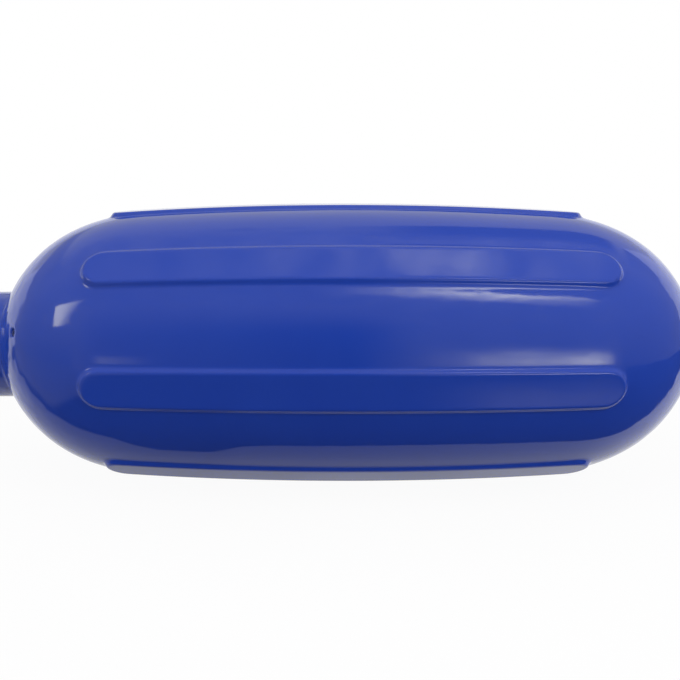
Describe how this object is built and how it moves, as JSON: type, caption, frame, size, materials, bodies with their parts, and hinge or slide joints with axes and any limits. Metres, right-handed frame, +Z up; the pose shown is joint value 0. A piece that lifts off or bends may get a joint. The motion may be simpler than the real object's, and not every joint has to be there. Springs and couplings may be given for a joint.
{
  "type": "boat fender",
  "caption": "Inflated cylinder boat fender with domed ends, low lengthwise rubbing ribs, a necked rope eye at each end and a needle valve in one dome.",
  "frame": {"origin": "centre of the fender, on its long axis midway between the eyes", "axes": "+X along the fender through both eyes, away from the end with the valve; +Z up, out of the middle of a rib; the rope holes run along Y"},
  "size_m": [0.69, 0.2148, 0.2148],
  "materials": {
    "glossy_blue_pvc": "glossy moulded royal-blue PVC",
    "valve_rubber": "matt dark blue rubber"
  },
  "bodies": {
    "root": {"fender_body": "glossy_blue_pvc", "inflation_valve": "valve_rubber"}
  },
  "joints": []
}
